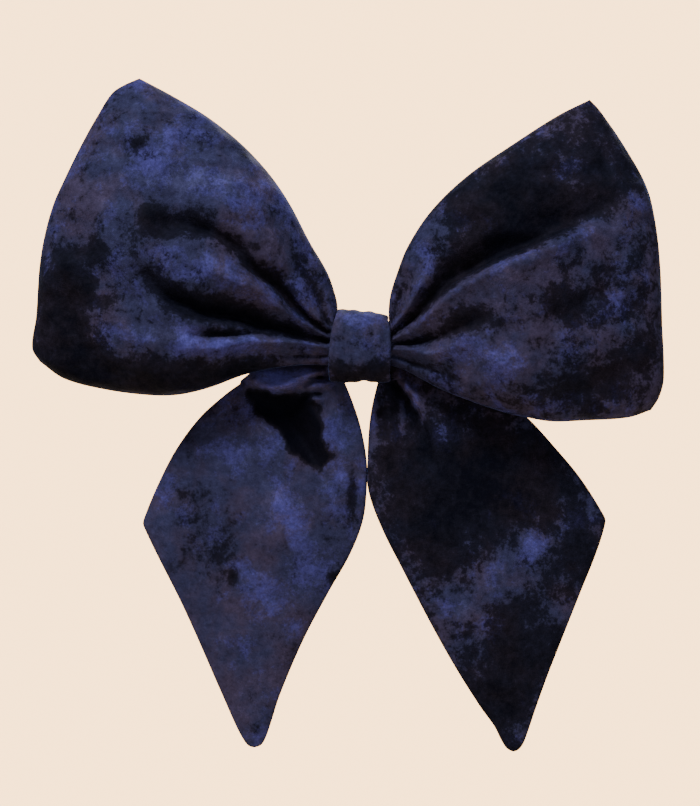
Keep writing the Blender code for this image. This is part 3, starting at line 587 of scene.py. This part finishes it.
def velvet(name, painted_shade=0.0, blue=0.0, seed=0.0, patchy=1.0):
    """Crushed velvet: grey-violet and navy pile, brighter blue patches, and near-black ragged patches where
    the pile lies away from the light. The tone attribute adds painted highlights and painted shadows to
    these, and a whole copy can be painted lighter or darker."""
    material, tree, shader = new_material(name)
    place = node(tree, "ShaderNodeAttribute", attribute_name="rest_place").outputs["Vector"]
    shift = node(tree, "ShaderNodeMapping")
    shift.inputs["Location"].default_value = (seed, seed * 0.7, -seed)
    tree.links.new(place, shift.inputs["Vector"])
    place = shift.outputs["Vector"]
    # The tone carries painted highlights and painted shadows as well as the pile's own patches
    tone = node(tree, "ShaderNodeAttribute", attribute_name="pile_tone_and_painted_light").outputs["Fac"]
    broad = noise(tree, place, 22, 2.0, 0.5, 0.2)
    patches = noise(tree, place, 78, 6.0, 0.66, 0.15)
    flecks = noise(tree, place, 185, 5.0, 0.68, 0.3)
    mottle = noise(tree, place, 420, 3.0, 0.7, 0.0)
    grit = noise(tree, place, 1050, 2.0, 0.6)
    pile = noise(tree, place, 2400, 2.0, 0.7)
    hue = noise(tree, place, 40, 5.0, 0.62, 0.2)
    glow = noise(tree, place, 62, 6.0, 0.68, 0.2)

    parts = ((broad, 0.42), (patches, 0.50), (flecks, 0.70), (mottle, 0.34), (grit, 0.20))
    # A whole copy is made darker or lighter here: painted shade or painted light
    light = arithmetic(tree, "ADD", tone, 0.5 - 0.5 * patchy * sum(part[1] for part in parts) - painted_shade)
    for pattern, strength in parts:
        light = plus(tree, light, pattern, strength * patchy)

    nap = ramp(tree, hue, [(0.44 - blue, NAVY), (0.60 - blue, VIOLET)])
    # Painted highlights in the tone also turn the pile bright blue
    glowing = plus(tree, plus(tree, glow, tone, 0.35), grit, 0.22)
    glowing = ramp(tree, glowing, [(0.62 - blue, (0, 0, 0)), (0.80 - blue, (1, 1, 1))])
    nap = blend_colours(tree, glowing, nap, BRIGHT_BLUE)
    grain = plus(tree, plus(tree, 0.25, mottle, 0.9), pile, 0.6)
    nap = blend_colours(tree, 1.0, nap, ramp(tree, light, PILE_LEVELS), "MULTIPLY")
    colour = blend_colours(tree, 1.0, nap, grain, "MULTIPLY")
    tree.links.new(colour, shader.inputs["Base Color"])

    tree.links.new(plus(tree, 0.92, patches, -0.35), shader.inputs["Roughness"])
    shader.inputs["Specular IOR Level"].default_value = 0.03
    shader.inputs["Specular Tint"].default_value = (0.5, 0.6, 1.0, 1)
    shader.inputs["Sheen Weight"].default_value = 0.16
    shader.inputs["Sheen Roughness"].default_value = 0.2
    shader.inputs["Sheen Tint"].default_value = (0.14, 0.26, 0.85, 1)

    height = arithmetic(tree, "MULTIPLY", patches, 0.0016)
    height = plus(tree, plus(tree, height, mottle, 0.0005), pile, 0.00008)
    add_bump(tree, shader, height, 0.6, 1.0)
    return material


def fibre(name, colour, scale):
    """Felted white fibre, for wadding and interfacing."""
    material, tree, shader = new_material(name)
    place = node(tree, "ShaderNodeTexCoord").outputs["Object"]
    clumps = noise(tree, place, scale, 6.0, 0.7, 1.5)
    dark = tuple(0.72 * c for c in colour)
    tree.links.new(ramp(tree, clumps, [(0.3, dark), (0.7, colour)]), shader.inputs["Base Color"])
    shader.inputs["Roughness"].default_value = 0.95
    add_bump(tree, shader, clumps, 0.6, 0.0006)
    return material


def sewing_thread(name):
    material, tree, shader = new_material(name)
    place = node(tree, "ShaderNodeTexCoord").outputs["Object"]
    twist = node(tree, "ShaderNodeTexWave", Scale=900.0, Distortion=1.5, bands_direction="DIAGONAL")
    tree.links.new(place, twist.inputs["Vector"])
    colour = ramp(tree, twist.outputs["Fac"], [(0.2, (0.006, 0.007, 0.022)), (0.8, (0.02, 0.024, 0.07))])
    tree.links.new(colour, shader.inputs["Base Color"])
    shader.inputs["Roughness"].default_value = 0.7
    shader.inputs["Specular IOR Level"].default_value = 0.12
    add_bump(tree, shader, twist.outputs["Fac"], 0.5, 0.0001)
    return material


def nickel(name, along=(1, 40, 40)):
    """Plated spring steel with fine rolling lines and a few duller smudges."""
    material, tree, shader = new_material(name)
    place = node(tree, "ShaderNodeTexCoord").outputs["Object"]
    stretch = node(tree, "ShaderNodeMapping")
    stretch.inputs["Scale"].default_value = along
    tree.links.new(place, stretch.inputs["Vector"])
    lines = noise(tree, stretch.outputs["Vector"], 260, 4.0, 0.6)
    smudge = noise(tree, place, 120, 3.0, 0.6)
    colour = ramp(tree, smudge, [(0.3, (0.24, 0.245, 0.26)), (0.7, (0.42, 0.43, 0.45))])
    tree.links.new(colour, shader.inputs["Base Color"])
    shader.inputs["Metallic"].default_value = 1.0
    tree.links.new(plus(tree, 0.16, lines, 0.22), shader.inputs["Roughness"])
    add_bump(tree, shader, lines, 0.25, 0.00005)
    return material


# Stage, light and camera

FLOOR_Z = -300.0
FLOOR_RADIUS = 470.0
VIEW_CENTRE = (-4.0, -23.2)  # what the camera looks at, x and z
CAMERA_BACK = 778.0
LENS = 85
AMBIENT = ((1.0, 0.86, 0.70, 1), 0.95)  # colour and strength
WALL_SEEN = ((1.0, 0.60, 0.27, 1), 5.6)


def make_stage():
    material, tree, shader = new_material("pale_cream")
    place = node(tree, "ShaderNodeTexCoord").outputs["Object"]
    haze = noise(tree, place, 1.4, 2.0)
    colour = ramp(tree, haze, [(0.3, (0.84, 0.66, 0.46)), (0.7, (0.87, 0.69, 0.49))])
    tree.links.new(colour, shader.inputs["Base Color"])
    shader.inputs["Roughness"].default_value = 0.9
    around = np.linspace(0, 2 * math.pi, 96, endpoint=False)
    ring = [(FLOOR_RADIUS * math.cos(a), FLOOR_RADIUS * math.sin(a), FLOOR_Z) for a in around]
    floor = add_mesh("pale_floor", ring, [tuple(range(len(ring)))], material, smooth=False)


def add_area_light(name, place, target, size, power, colour):
    data = bpy.data.lights.new(name, "AREA")
    data.shape = "DISK"
    data.size = size
    data.energy = power
    data.color = colour
    light = bpy.data.objects.new(name, data)
    light.location = place
    light.rotation_euler = (Vector(target) - Vector(place)).to_track_quat("-Z", "Y").to_euler()
    bpy.context.scene.collection.objects.link(light)


def make_lights():
    add_area_light("key", (-0.55, -0.95, 1.25), (0, 0, 0), 0.45, 80, (1.0, 0.94, 0.87))
    add_area_light("fill", (1.1, -1.1, 0.1), (0, 0, -0.03), 1.1, 8, (0.92, 0.96, 1.0))
    add_area_light("rear", (0.5, 1.1, 1.0), (0, 0, 0), 0.6, 34, (0.97, 0.98, 1.0))
    world = bpy.data.worlds.new("studio")
    world.use_nodes = True
    tree = world.node_tree
    ambient = tree.nodes["Background"]
    ambient.inputs["Color"].default_value, ambient.inputs["Strength"].default_value = AMBIENT
    # What is seen behind the bow is a plain cream wall, which doesn't tint the light on it.
    seen = node(tree, "ShaderNodeBackground", Color=WALL_SEEN[0], Strength=WALL_SEEN[1])
    choice = node(tree, "ShaderNodeMixShader")
    path = node(tree, "ShaderNodeLightPath")
    tree.links.new(path.outputs["Is Camera Ray"], choice.inputs["Fac"])
    tree.links.new(ambient.outputs[0], choice.inputs[1])
    tree.links.new(seen.outputs[0], choice.inputs[2])
    tree.links.new(choice.outputs[0], tree.nodes["World Output"].inputs["Surface"])
    bpy.context.scene.world = world


def make_camera():
    data = bpy.data.cameras.new("camera")
    data.lens = LENS
    camera = bpy.data.objects.new("camera", data)
    camera.location = Vector((VIEW_CENTRE[0], -CAMERA_BACK, VIEW_CENTRE[1])) * MM
    camera.rotation_euler = (math.radians(90), 0, 0)
    bpy.context.scene.collection.objects.link(camera)
    bpy.context.scene.camera = camera


# Loops

def loop_grid():
    """(x, z) over the whole pillow, column by column from the left corner, and each one's out and up."""
    # Columns and rows lie closest where the cloth turns, at the outer side and the seams.
    out = np.sin(np.linspace(0, 1, LOOP_COLUMNS) * math.pi / 2) ** 1.15
    up = 0.5 - 0.5 * np.cos(np.linspace(0, 1, LOOP_ROWS) * math.pi)
    left, right = patch_at(LEFT_LOOP, out, up), patch_at(RIGHT_LOOP, out, up)
    share = np.linspace(0, 1, PINCH_COLUMNS + 2)[1:-1, None, None]
    middle = mix(line_at(LEFT_LOOP["pinch"], up)[None], line_at(RIGHT_LOOP["pinch"], up)[None], share)
    places = np.concatenate([left[::-1], middle, right])
    outs = np.concatenate([out[::-1], np.zeros(PINCH_COLUMNS), out])
    return places, outs, up


def loop_skins():
    """Front and back points of the pillow, as arrays of columns by rows by (x, y, z), and how full it
    is at each place, from 0 on the seams to 1."""
    places, outs, up = loop_grid()
    x, z = places[..., 0], places[..., 1]
    o = outs[:, None]
    seam = PINCH_Y - LOOP_FORWARD * ease(o / 0.5) + SEAM_WANDER * ripple(x, z, 130, 3) * ease(o * 3)
    dome = np.sqrt(np.clip(4 * up * (1 - up), 0, 1))[None]
    end = np.sqrt(np.clip(1 - o**4, 0, 1))
    full = ease(o / FULLEST) ** 0.75
    body = dome**0.92 * end
    lip = LIP * np.minimum(1, (dome * end) * 4) ** 0.5
    pinch = PINCH_PUFF + KNOT_FILL * ease((np.abs(x) - KNOT_FILL_START) / KNOT_FILL_REACH)

    front_puff = (pinch + (FRONT_PUFF - pinch) * full) * body
    left = x < 0
    depth = np.where(left, fold_depth(places, LEFT_LOOP_FOLDS), fold_depth(places, RIGHT_LOOP_FOLDS))
    loose = 0.9 * ripple(x, z, 34, 11) + 0.45 * ripple(x, z, 15, 12)
    edge = np.clip(dome * end * 1.6, 0, 1)
    depth = (depth + loose * ease(o * 2.5)) * edge
    back_puff = (pinch + (BACK_PUFF - pinch) * full) * body
    most = np.maximum(front_puff + FOLD_INTO_BACK * back_puff - FRONT_FOLD_ROOM, 0)
    depth = np.where(depth > 0, most * np.tanh(depth / np.maximum(most, 1e-3)), depth)
    front = seam - SEAM_GAP / 2 - lip - front_puff + depth
    front = np.where(o == 0, np.maximum(front, PINCH_Y - pinch - PINCH_RIDGE), front)

    back_depth = np.where(left, fold_depth(places, BACK_FOLDS, True), fold_depth(places, BACK_FOLDS))
    back_depth = (back_depth + 0.7 * ripple(x, z, 38, 21) * ease(o * 2.5)) * edge
    limit = np.maximum(back_puff - BACK_FOLD_ROOM, 0)
    back_depth = np.clip(back_depth, -limit, limit)
    back = seam + SEAM_GAP / 2 + lip + back_puff + back_depth
    return np.stack([x, front, z], -1), np.stack([x, back, z], -1), np.minimum(1, dome * end * 3)


def pillow_mesh(front, back, columns, rows):
    """Both skins at some columns and rows, sewn into one closed surface: its points and faces, each
    skin's point numbers, and which places are on the seam."""
    ahead, behind = front[np.ix_(columns, rows)], back[np.ix_(columns, rows)]
    wide, high = len(columns), len(rows)
    rim = np.zeros((wide, high), bool)
    rim[[0, -1], :] = True
    rim[:, [0, -1]] = True
    ahead[rim] = 0.5 * (ahead[rim] + behind[rim])
    number = np.arange(wide * high).reshape(wide, high)
    back_number = number.copy()
    back_number[~rim] = wide * high + np.arange((~rim).sum())
    points = np.concatenate([ahead.reshape(-1, 3), behind[~rim]])
    faces = []
    for i in range(wide - 1):
        for j in range(high - 1):
            for index, turned in ((number, False), (back_number, True)):
                corners = (index[i, j], index[i + 1, j], index[i + 1, j + 1], index[i, j + 1])
                quad = [int(corner) for corner in corners]
                faces.append(quad[::-1] if turned else quad)
    return points, faces, number, back_number, rim


def run_cloth(points, faces, hold):
    """Where a cloth's points lie once it has settled, each one held to its place by its hold, 0 to 1."""
    cloth = add_mesh("settling_cloth", points * SETTLE_SCALE, faces, None)
    fix_normals(cloth)
    group = cloth.vertex_groups.new(name="hold")
    for vertex, weight in enumerate(hold):
        group.add([vertex], float(weight), "REPLACE")
    modifier = cloth.modifiers.new("cloth", "CLOTH")
    settings = modifier.settings
    settings.quality = 6
    settings.vertex_group_mass = "hold"
    settings.tension_stiffness = 18
    settings.compression_stiffness = 18
    settings.shear_stiffness = 8
    settings.bending_stiffness = 2.5
    settings.shrink_min = -SPARE_CLOTH
    settings.shrink_max = -SPARE_CLOTH
    settings.use_pressure = True
    settings.uniform_pressure_force = 1.2
    settings.effector_weights.gravity = 0.1
    scene = bpy.context.scene
    scene.frame_start, scene.frame_end = 1, SETTLE_FRAMES
    modifier.point_cache.frame_start, modifier.point_cache.frame_end = 1, SETTLE_FRAMES
    for frame_number in range(1, SETTLE_FRAMES + 1):
        scene.frame_set(frame_number)
    graph = bpy.context.evaluated_depsgraph_get()
    settled = np.zeros(len(points) * 3, np.float32)
    cloth.evaluated_get(graph).data.vertices.foreach_get("co", settled)
    scene.frame_set(1)
    data = cloth.data
    bpy.data.objects.remove(cloth)
    bpy.data.meshes.remove(data)
    return settled.reshape(-1, 3) / (SETTLE_SCALE * MM)


def spread(coarse, columns, rows, shape):
    """Moves at some columns and rows, spread over every column and row and smoothed a little."""
    along_rows = np.stack([[np.interp(np.arange(shape[1]), rows, coarse[i, :, k])
                            for i in range(len(columns))] for k in range(3)], -1)
    fine = np.stack([[np.interp(np.arange(shape[0]), columns, along_rows[:, j, k])
                      for j in range(shape[1])] for k in range(3)], -1)
    fine = fine.transpose(1, 0, 2)
    for _ in range(2):
        fine[1:-1] = 0.25 * fine[:-2] + 0.5 * fine[1:-1] + 0.25 * fine[2:]
        fine[:, 1:-1] = 0.25 * fine[:, :-2] + 0.5 * fine[:, 1:-1] + 0.25 * fine[:, 2:]
    return fine


def settle(front, back, fullness):
    """Lets spare cloth wrinkle over the wadding, held along the seams and in the knot, and gives each
    point's small move back to the fine skins. Near the seams it moves only in and out."""
    columns = np.unique(np.append(np.arange(0, front.shape[0], SETTLE_STEP), front.shape[0] - 1))
    rows = np.unique(np.append(np.arange(0, front.shape[1], SETTLE_STEP), front.shape[1] - 1))
    points, faces, number, back_number, rim = pillow_mesh(front, back, columns, rows)
    beyond_knot = np.abs(points[:, 0]) - KNOT_HOLD_REACH
    loosening = ease(beyond_knot / KNOT_HOLD_FADE)
    hold = np.where(beyond_knot < 0, 1.0, mix(NEAR_HOLD, FAR_HOLD, loosening))
    hold[number[rim]] = 1.0
    move = run_cloth(points, faces, hold) - points
    far = np.linalg.norm(move, axis=1, keepdims=True)
    move = move * np.minimum(1, MOST_SETTLING / np.maximum(far, 1e-6)) ** 0.7
    moved = []
    for skin, index in ((front, number), (back, back_number)):
        fine = spread(move[index], columns, rows, skin.shape)
        fine[..., [0, 2]] *= (fullness**2)[..., None]
        moved.append(skin + fine)
    return moved


def make_panel(name, points, cloth, towards, nodes, blots, folds, hollow=()):
    """One layer of velvet on a grid of points, that stands for some CAD nodes."""
    columns, rows = points.shape[:2]
    panel = add_mesh(name, points, grid_faces(rows, columns), cloth)
    face_out(panel, towards)
    thicken(panel, VELVET)
    keep_rest_place(panel)
    add_tone(panel, blots, folds, hollow)
    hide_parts(*nodes)
    return panel


def make_loops(cloth, filling):
    front, back, fullness = loop_skins()
    front, back = settle(front, back, fullness)
    back[..., 1] = np.maximum(back[..., 1], front[..., 1] + LEAST_PILLOW * fullness)
    panels = [
        make_panel("loops_front_velvet", front, cloth, FORWARD, ["loops_front_panel"], LOOP_BLOTS,
                   LEFT_LOOP_FOLDS + RIGHT_LOOP_FOLDS),
        make_panel("loops_back_velvet", back, cloth, BACKWARD, ["loops_back_panel"], [], []),
    ]
    for panel in panels:
        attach(panel, "bow")
    make_wadding(front, back, filling)
    return panels


def make_wadding(front, back, filling):
    """One closed mass that fills the pillow, a little inside its cloth."""
    inside = (slice(WADDING_MARGIN, -WADDING_MARGIN), slice(WADDING_MARGIN, -WADDING_MARGIN))
    middle = 0.5 * (front[..., 1] + back[..., 1])
    wad_front = np.minimum(front[..., 1] + WADDING_INSET, middle - WADDING_LEAST)[inside]
    wad_back = np.maximum(back[..., 1] - WADDING_INSET, middle + WADDING_LEAST)[inside]
    x, z = front[..., 0][inside], front[..., 2][inside]
    ring = np.concatenate([np.stack([x, wad_front, z], -1), np.stack([x, wad_back, z], -1)[:, ::-1]],
                          axis=1)
    columns, rows = ring.shape[:2]
    half = rows // 2
    caps = []
    for column in (0, columns - 1):
        base = column * rows
        for j in range(half - 1):
            quad = (base + j, base + j + 1, base + rows - 2 - j, base + rows - 1 - j)
            caps.append(quad if column == 0 else quad[::-1])
    wadding = add_mesh("loops_wadding_fibre", ring, grid_faces(rows, columns, True) + caps, filling)
    fix_normals(wadding)
    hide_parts("loops_wadding")
    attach(wadding, "bow")


# Tails

def tail_grid(outline, mirror):
    """(x, z) from the pinch down to the tip, row by row, and each row's share of the way down."""
    across = 0.5 - 0.5 * np.cos(np.linspace(0, 1, TAIL_COLUMNS) * math.pi)
    neck = patch_at(NECK, np.linspace(0, 1, NECK_ROWS), across)
    neck = neck * np.array([mirror, 1.0])
    down = np.linspace(0, 1, TAIL_ROWS + 1)[1:]
    down = 1 - (1 - down) ** 1.08
    outer, inner = line_at(outline["outer"], down), line_at(outline["inner"], down)
    hanging = inner[:, None] + (outer - inner)[:, None] * across[None, :, None]
    rows = np.concatenate([neck, hanging])
    shares = np.concatenate([np.linspace(-1, 0, NECK_ROWS), down])
    return rows, shares, across


def make_tail(side, outline, folds, blots, hollow, cloth, filling):
    """The two panels and the stiffener of one tail, whose heads reach up into the knot."""
    places, shares, across = tail_grid(outline, -1 if side == "left" else 1)
    x, z = places[..., 0], places[..., 1]
    share = shares[:, None]
    dome = np.sqrt(np.clip(4 * across * (1 - across), 0, 1))[None]
    hang = ease(share / 0.22)
    tip = np.sqrt(np.clip(1 - np.maximum(share, 0) ** 5, 0, 1))
    puff = dome * mix(0.5, 1.0, hang) * tip
    back_fill = NECK_BACK_FILL * dome * ease(-share * 3)
    middle = TAIL_Y + TAIL_WANDER * ripple(x, z, 120, 31 if side == "left" else 32) * hang
    edge = np.clip(dome * tip * 1.8, 0, 1)
    lip = LIP * np.minimum(1, dome * tip * 4) ** 0.5
    loose = 0.55 * ripple(x, z, 40, 41) + 0.3 * ripple(x, z, 17, 42)

    free = np.where(share < 0, ease((np.abs(x) - WRAP_REACH) / 4), 1.0)
    depth = (fold_depth(places, folds) + loose * hang) * edge * free
    front = middle - SEAM_GAP / 2 - lip - TAIL_FRONT_PUFF * puff + depth
    back = middle + SEAM_GAP / 2 + lip + TAIL_BACK_PUFF * puff + back_fill
    back += FOLD_SHOW_THROUGH * depth + 0.4 * ripple(x, z, 45, 43) * edge * hang
    back = np.maximum(back, front + LEAST_TAIL * np.minimum(1, dome * tip * 3))

    front_nodes = [f"{side}_tail_front_panel", f"{side}_tail_gathered_head"]
    panels = [
        make_panel(f"{side}_tail_front_velvet", np.stack([x, front, z], -1), cloth, FORWARD, front_nodes,
                   blots, folds, hollow),
        make_panel(f"{side}_tail_back_velvet", np.stack([x, back, z], -1), cloth, BACKWARD,
                   [f"{side}_tail_back_panel"], [], []),
    ]

    # The stiffener lies between the panels, clear of their seams and of the gathers.
    core = (slice(NECK_ROWS + 3, -6), slice(3, -3))
    sheet = np.stack([x[core], 0.5 * (front + back)[core], z[core]], -1)
    core_faces = grid_faces(sheet.shape[1], sheet.shape[0])
    stiffener = add_mesh(f"{side}_tail_stiffener", sheet, core_faces, filling)
    face_out(stiffener, FORWARD)
    thicken(stiffener, INTERFACING)
    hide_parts(f"{side}_tail_interfacing")
    for piece in (*panels, stiffener):
        blend_to_tail(piece)
    return panels, stiffener


def blend_to_tail(piece):
    """Bakes a piece's placement into its mesh."""
    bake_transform(piece)


# Knot wrap

def wrap_edges(z):
    """How far left and right the band reaches at a height."""
    left = np.interp(z, [-14, -8, 0, 8, 14], [-12.4, -12.4, -12.0, -10.9, -9.3])
    right = np.interp(z, [-14, -8, 0, 8, 13], [12.0, 12.0, 12.0, 11.8, 11.3])
    return left, right


def wrap_section():
    """The band's own section, as (share of the width, turned edge, side): out along its face, round one
    folded edge, back inside and round the other."""
    flat = np.sin(np.linspace(-1, 1, WRAP_STEPS_ACROSS) * math.pi / 2)
    turns = np.linspace(0, math.pi, WRAP_EDGE_STEPS + 2)[1:-1]
    section = [(place, 0.0, 1.0) for place in flat]
    section += [(1.0, math.sin(turn), math.cos(turn)) for turn in turns]
    section += [(place, 0.0, -1.0) for place in flat[::-1]]
    section += [(-1.0, -math.sin(turn), -math.cos(turn)) for turn in turns]
    return section


def wrap_relief(x, place, angle, height, front, top):
    """How far the band's face stands out: a full middle, creases down the front, and loose ripples."""
    fade = 1 - place**4
    relief = (1.3 * front + 0.3 * top) * (1 - place**2)
    relief -= 0.75 * hump(x - 5.6, 1.3) * front * ease(0.6 - height)
    relief += 0.35 * hump(x - 7.8, 1.5) * front
    relief -= 0.5 * hump(x + 7.6 + 2 * height, 1.1) * front
    relief += 0.20 * math.sin(1.1 * x + 2.0 * angle) * fade
    relief += 0.16 * math.sin(0.6 * x - 5.0 * angle + 1.0) * fade
    return relief


def wrap_points(section):
    """The band's points, ring after ring, round the pinch and the barrette's base."""
    half_depth = 0.5 * (WRAP_BACK_Y - WRAP_FRONT_Y)
    middle_y = 0.5 * (WRAP_BACK_Y + WRAP_FRONT_Y)
    power = 2 / WRAP_SQUARENESS
    half = 0.5 * WRAP_THICKNESS
    points = []
    for step in range(WRAP_STEPS_AROUND):
        angle = 2 * math.pi * step / WRAP_STEPS_AROUND
        c, s = math.cos(angle), math.sin(angle)
        ring_y = math.copysign(abs(c) ** power, c)
        ring_z = math.copysign(abs(s) ** power, s)
        squared = np.array([ring_y * abs(ring_y) / half_depth, ring_z * abs(ring_z) / WRAP_HALF_HEIGHT])
        outward = squared / (np.linalg.norm(squared) + 1e-9)
        front, top, bottom = max(0.0, -ring_y), max(0.0, ring_z), max(0.0, -ring_z)
        left, right = wrap_edges(ring_z * WRAP_HALF_HEIGHT)
        ahead = float(ease((-15 - middle_y - ring_y * half_depth) / 6))
        left = mix(-WRAP_BACK_HALF_WIDTH, left, ahead) + 0.22 * math.sin(3 * angle + 0.6)
        right = mix(WRAP_BACK_HALF_WIDTH, right, ahead) + 0.22 * math.sin(4 * angle + 2.0)
        for place, turned, side in section:
            x = mix(left + half, right - half, 0.5 + 0.5 * place) + turned * half
            offset = half * side - half
            if side > 0:
                offset += wrap_relief(x, place, angle, ring_z, front, top)
            lean = np.interp(x, [-10, 12], [0.6, -1.9]) * top
            sag = -(0.7 + 0.9 * min(1.0, abs(x - 1) / 7)) * bottom * ahead
            y = middle_y + ring_y * half_depth + outward[0] * offset
            z = ring_z * WRAP_HALF_HEIGHT + outward[1] * offset + lean + sag
            points.append((x, y, z))
    return points


def make_wrap(cloth):
    section = wrap_section()
    count = len(section)
    faces = []
    for i in range(WRAP_STEPS_AROUND):
        for j in range(count):
            n, k = (i + 1) % WRAP_STEPS_AROUND, (j + 1) % count
            faces.append((i * count + j, n * count + j, n * count + k, i * count + k))
    wrap = add_mesh("knot_wrap_velvet", wrap_points(section), faces, cloth)
    fix_normals(wrap)
    keep_rest_place(wrap)
    add_tone(wrap, WRAP_BLOTS)
    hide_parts("knot_wrap")
    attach(wrap, "bow")
    return wrap


# Metal and thread: the CAD's own pieces with finished materials

def finish_cad_pieces():
    steel = nickel("nickel_steel")
    upright = nickel("nickel_upright", (40, 1, 40))
    thread = sewing_thread("navy_thread")
    dressed = {
        "barrette_base": steel, "barrette_arm": steel, "barrette_spring_leaf": steel,
        "barrette_catch_seat": steel, "barrette_hinge_pin": upright, "barrette_catch_rivet": upright,
        "catch_lever_upper": upright, "catch_lever_lower": upright,
        "gathering_thread": thread, "wrap_stitches": thread,
    }
    for name, material in dressed.items():
        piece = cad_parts[name]
        piece.data.materials.clear()
        piece.data.materials.append(material)


def main():
    make_camera()
    make_stage()
    make_lights()
    cloth = velvet("velvet_loops")
    # The tails' and wrap's copies are painted lighter or darker: the left tail lighter as painted light,
    # the right tail and the wrap darker as painted shade
    left_cloth = velvet("velvet_left_tail", painted_shade=-0.04, blue=0.0, seed=0.37, patchy=0.7)
    right_cloth = velvet("velvet_right_tail", painted_shade=0.05, blue=-0.02, seed=0.83)
    wrap_cloth = velvet("velvet_wrap", painted_shade=0.02, seed=1.31)
    wadding = fibre("wadding_fibre", (0.80, 0.79, 0.76), 300)
    interfacing = fibre("interfacing_fibre", (0.82, 0.81, 0.78), 900)
    loop_panels = make_loops(cloth, wadding)
    left_panels, left_core = make_tail("left", LEFT_TAIL, LEFT_TAIL_FOLDS, LEFT_TAIL_BLOTS,
                                       LEFT_TAIL_HOLLOW_SHADOW, left_cloth, interfacing)
    right_panels, right_core = make_tail("right", RIGHT_TAIL, RIGHT_TAIL_FOLDS, RIGHT_TAIL_BLOTS, [],
                                         right_cloth, interfacing)
    wrap = make_wrap(wrap_cloth)
    finish_cad_pieces()


main()
